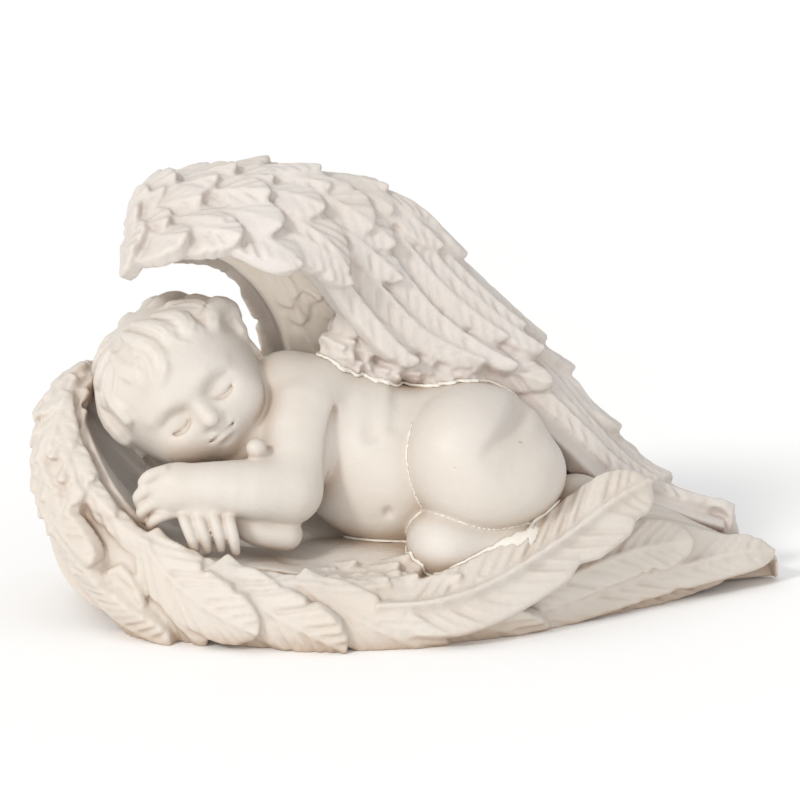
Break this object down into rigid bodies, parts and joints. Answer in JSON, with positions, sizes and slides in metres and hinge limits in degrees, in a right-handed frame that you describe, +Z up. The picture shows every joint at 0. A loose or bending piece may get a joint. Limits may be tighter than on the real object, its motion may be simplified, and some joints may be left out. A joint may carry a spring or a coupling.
{
  "type": "resin angel figurine",
  "caption": "Ivory cast-resin ornament: a winged child asleep on its side in a nest made by its near wing, with the far wing arched over its head. Flat base.",
  "frame": {"origin": "the flat base, below the middle of the figure", "axes": "+Z up, +X from the child's head towards the wing tips, -Y towards the viewer whom the child faces"},
  "size_m": [0.1396, 0.0645, 0.0822],
  "materials": {
    "cherub_resin": "smooth hand-finished ivory polyester resin, satin",
    "canopy_resin": "ivory polyester resin with tooled feathers, matt",
    "cradle_resin": "ivory polyester resin with tooled feathers, matt",
    "filler": "clear-to-white polyester filler, glossy"
  },
  "bodies": {
    "root": {"cherub": "cherub_resin", "canopy_wing": "canopy_resin", "cradle_wing": "cradle_resin", "filler_bead": "filler"}
  },
  "joints": []
}
